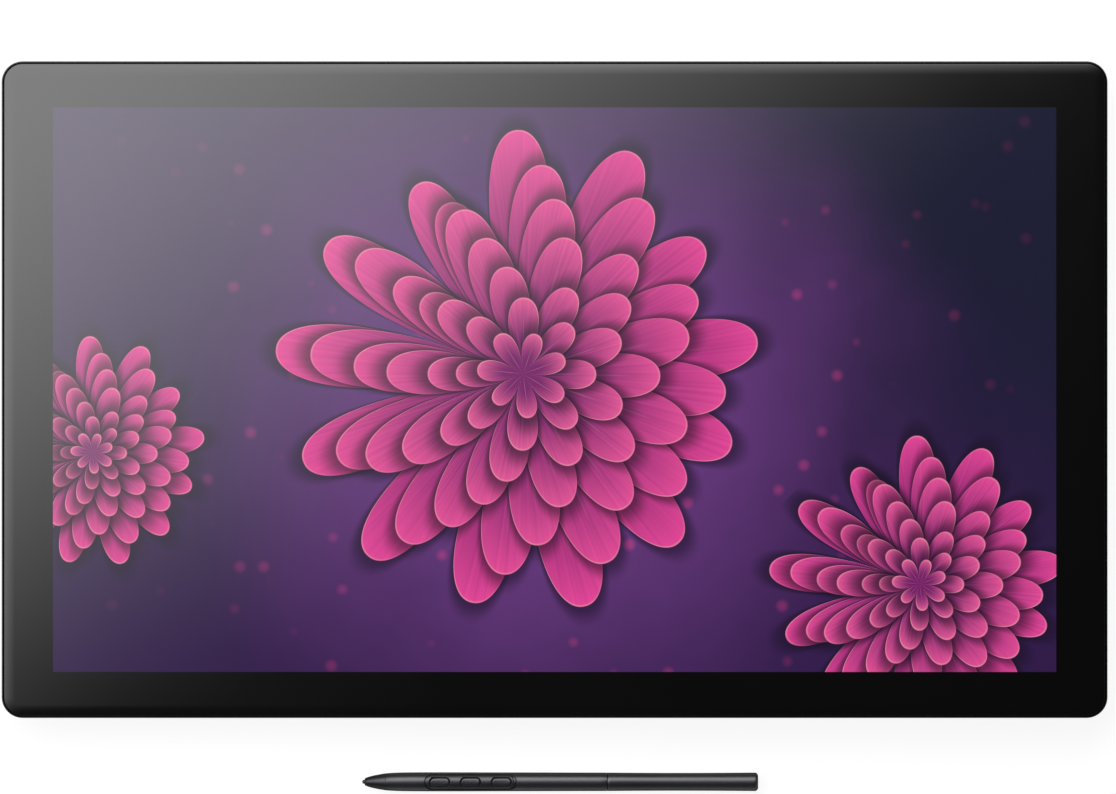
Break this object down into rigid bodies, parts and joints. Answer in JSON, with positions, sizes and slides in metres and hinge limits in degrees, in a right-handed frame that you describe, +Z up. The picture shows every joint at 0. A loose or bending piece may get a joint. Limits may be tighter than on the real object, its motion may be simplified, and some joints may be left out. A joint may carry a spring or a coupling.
{
  "type": "pen display with pen",
  "caption": "Flat drawing display with etched cover glass, dark border and slim rim, grips, keys, vents and fold-out legs behind, and a slim drawing pen with side switches.",
  "frame": {"origin": "on the desk, at the middle of the footprint that the slate and the pen cover together", "axes": "+X along the long edge to the right of the screen, +Y towards the top edge of the screen, +Z up out of the glass"},
  "size_m": [0.421, 0.2786, 0.022],
  "materials": {
    "etched_glass": "etched against glare",
    "border_ink": "printed black",
    "clear_film": "clear",
    "display": "lit picture",
    "white_film": "satin",
    "clear_acrylic": "polished",
    "light_strip": "gloss",
    "sheet_aluminium": "rolled",
    "circuit_board": "lacquered",
    "adhesive": "matt",
    "frame_black": "fine satin",
    "cover_black": "fine texture",
    "trim_black": "smooth satin",
    "key_black": "soft satin",
    "foot_rubber": "matt",
    "steel": "bright",
    "dark_steel": "blackened",
    "brass": "turned",
    "fin_aluminium": "bare",
    "copper": "drawn",
    "pen_charcoal": "satin lacquer",
    "pen_trim": "smooth satin",
    "nib_plastic": "smooth",
    "coil_winding": "lacquered",
    "carrier_plastic": "moulded"
  },
  "bodies": {
    "slate": {"cover_glass": "etched_glass", "border_mask": "border_ink", "touch_sensor": "clear_film", "lcd_panel": "display", "diffuser_sheets": "white_film", "light_guide": "clear_acrylic", "led_bar": "light_strip", "panel_tray": "sheet_aluminium", "digitizer_board": "circuit_board", "shield_plate": "sheet_aluminium", "glass_adhesive": "adhesive", "front_frame": "frame_black", "rear_cover": "cover_black", "key_bezels": "trim_black", "key_boards": "circuit_board", "power_switch": "circuit_board", "vesa_inserts": "brass", "vesa_bracket": "sheet_aluminium", "cover_screws": "dark_steel", "rubber_feet": "foot_rubber", "leg_pins": "steel", "vent_grilles": "trim_black", "exhaust_grilles": "trim_black", "io_bracket": "trim_black", "main_board": "circuit_board", "usb_c_ports": "steel", "hdmi_port": "steel", "fan_housings": "carrier_plastic", "heat_sinks": "fin_aluminium", "heat_pipe": "copper"},
    "left_leg": {"leg_left": "cover_black", "leg_tip_left": "foot_rubber"},
    "right_leg": {"leg_right": "cover_black", "leg_tip_right": "foot_rubber"},
    "left_fan": {"fan_rotor_left": "carrier_plastic"},
    "right_fan": {"fan_rotor_right": "carrier_plastic"},
    "power_key": {"power_button": "key_black"},
    "pen": {"pen_nose": "pen_trim", "pen_coil": "coil_winding", "pen_pressure_sensor": "steel", "pen_carrier": "carrier_plastic", "pen_board": "circuit_board", "pen_barrel": "pen_charcoal", "pen_switch_plate": "pen_trim", "pen_coupler": "steel"},
    "nib": {"pen_nib": "nib_plastic"},
    "pen_end": {"pen_tail": "pen_charcoal", "pen_weight": "brass"},
    "front_switch": {"pen_button_front": "pen_trim"},
    "middle_switch": {"pen_button_middle": "pen_trim"},
    "rear_switch": {"pen_button_rear": "pen_trim"},
    "left_key_1": {"key_left_1": "key_black"},
    "left_key_2": {"key_left_2": "key_black"},
    "left_key_3": {"key_left_3": "key_black"},
    "left_key_4": {"key_left_4": "key_black"},
    "right_key_1": {"key_right_1": "key_black"},
    "right_key_2": {"key_right_2": "key_black"},
    "right_key_3": {"key_right_3": "key_black"},
    "right_key_4": {"key_right_4": "key_black"}
  },
  "joints": [
    {"name": "left_leg_hinge", "type": "hinge", "parent": "slate", "child": "left_leg", "pos_m": [-0.1185, 0.1143, 0.0046], "axis": [1, 0, 0], "range_deg": [0, 74]},
    {"name": "left_fan_spin", "type": "hinge", "parent": "slate", "child": "left_fan", "pos_m": [-0.075, 0.0883, 0.009], "axis": [0, 0, 1], "continuous": true},
    {"name": "left_key_1_press", "type": "slide", "parent": "slate", "child": "left_key_1", "axis": [0, 0, 1], "range_m": [0, 0.0004], "stiffness_N_per_m": 1500},
    {"name": "left_key_2_press", "type": "slide", "parent": "slate", "child": "left_key_2", "axis": [0, 0, 1], "range_m": [0, 0.0004], "stiffness_N_per_m": 1500},
    {"name": "left_key_3_press", "type": "slide", "parent": "slate", "child": "left_key_3", "axis": [0, 0, 1], "range_m": [0, 0.0004], "stiffness_N_per_m": 1500},
    {"name": "left_key_4_press", "type": "slide", "parent": "slate", "child": "left_key_4", "axis": [0, 0, 1], "range_m": [0, 0.0004], "stiffness_N_per_m": 1500},
    {"name": "right_leg_hinge", "type": "hinge", "parent": "slate", "child": "right_leg", "pos_m": [0.1185, 0.1143, 0.0046], "axis": [1, 0, 0], "range_deg": [0, 74]},
    {"name": "right_fan_spin", "type": "hinge", "parent": "slate", "child": "right_fan", "pos_m": [0.075, 0.0883, 0.009], "axis": [0, 0, 1], "continuous": true},
    {"name": "right_key_1_press", "type": "slide", "parent": "slate", "child": "right_key_1", "axis": [0, 0, 1], "range_m": [0, 0.0004], "stiffness_N_per_m": 1500},
    {"name": "right_key_2_press", "type": "slide", "parent": "slate", "child": "right_key_2", "axis": [0, 0, 1], "range_m": [0, 0.0004], "stiffness_N_per_m": 1500},
    {"name": "right_key_3_press", "type": "slide", "parent": "slate", "child": "right_key_3", "axis": [0, 0, 1], "range_m": [0, 0.0004], "stiffness_N_per_m": 1500},
    {"name": "right_key_4_press", "type": "slide", "parent": "slate", "child": "right_key_4", "axis": [0, 0, 1], "range_m": [0, 0.0004], "stiffness_N_per_m": 1500},
    {"name": "power_press", "type": "slide", "parent": "slate", "child": "power_key", "axis": [0, -1, 0], "range_m": [0, 0.0004], "stiffness_N_per_m": 1500},
    {"name": "pen_lift", "type": "slide", "parent": "slate", "child": "pen", "axis": [0, 0, 1], "range_m": [0, 0.1]},
    {"name": "nib_press", "type": "slide", "parent": "pen", "child": "nib", "axis": [1, 0, 0], "range_m": [0, 0.0005], "stiffness_N_per_m": 3000},
    {"name": "pen_end_pull", "type": "slide", "parent": "pen", "child": "pen_end", "axis": [1, 0, 0], "range_m": [0, 0.04]},
    {"name": "front_switch_press", "type": "slide", "parent": "pen", "child": "front_switch", "axis": [0, 0, -1], "range_m": [0, 0.00035], "stiffness_N_per_m": 2000},
    {"name": "middle_switch_press", "type": "slide", "parent": "pen", "child": "middle_switch", "axis": [0, 0, -1], "range_m": [0, 0.00035], "stiffness_N_per_m": 2000},
    {"name": "rear_switch_press", "type": "slide", "parent": "pen", "child": "rear_switch", "axis": [0, 0, -1], "range_m": [0, 0.00035], "stiffness_N_per_m": 2000}
  ]
}
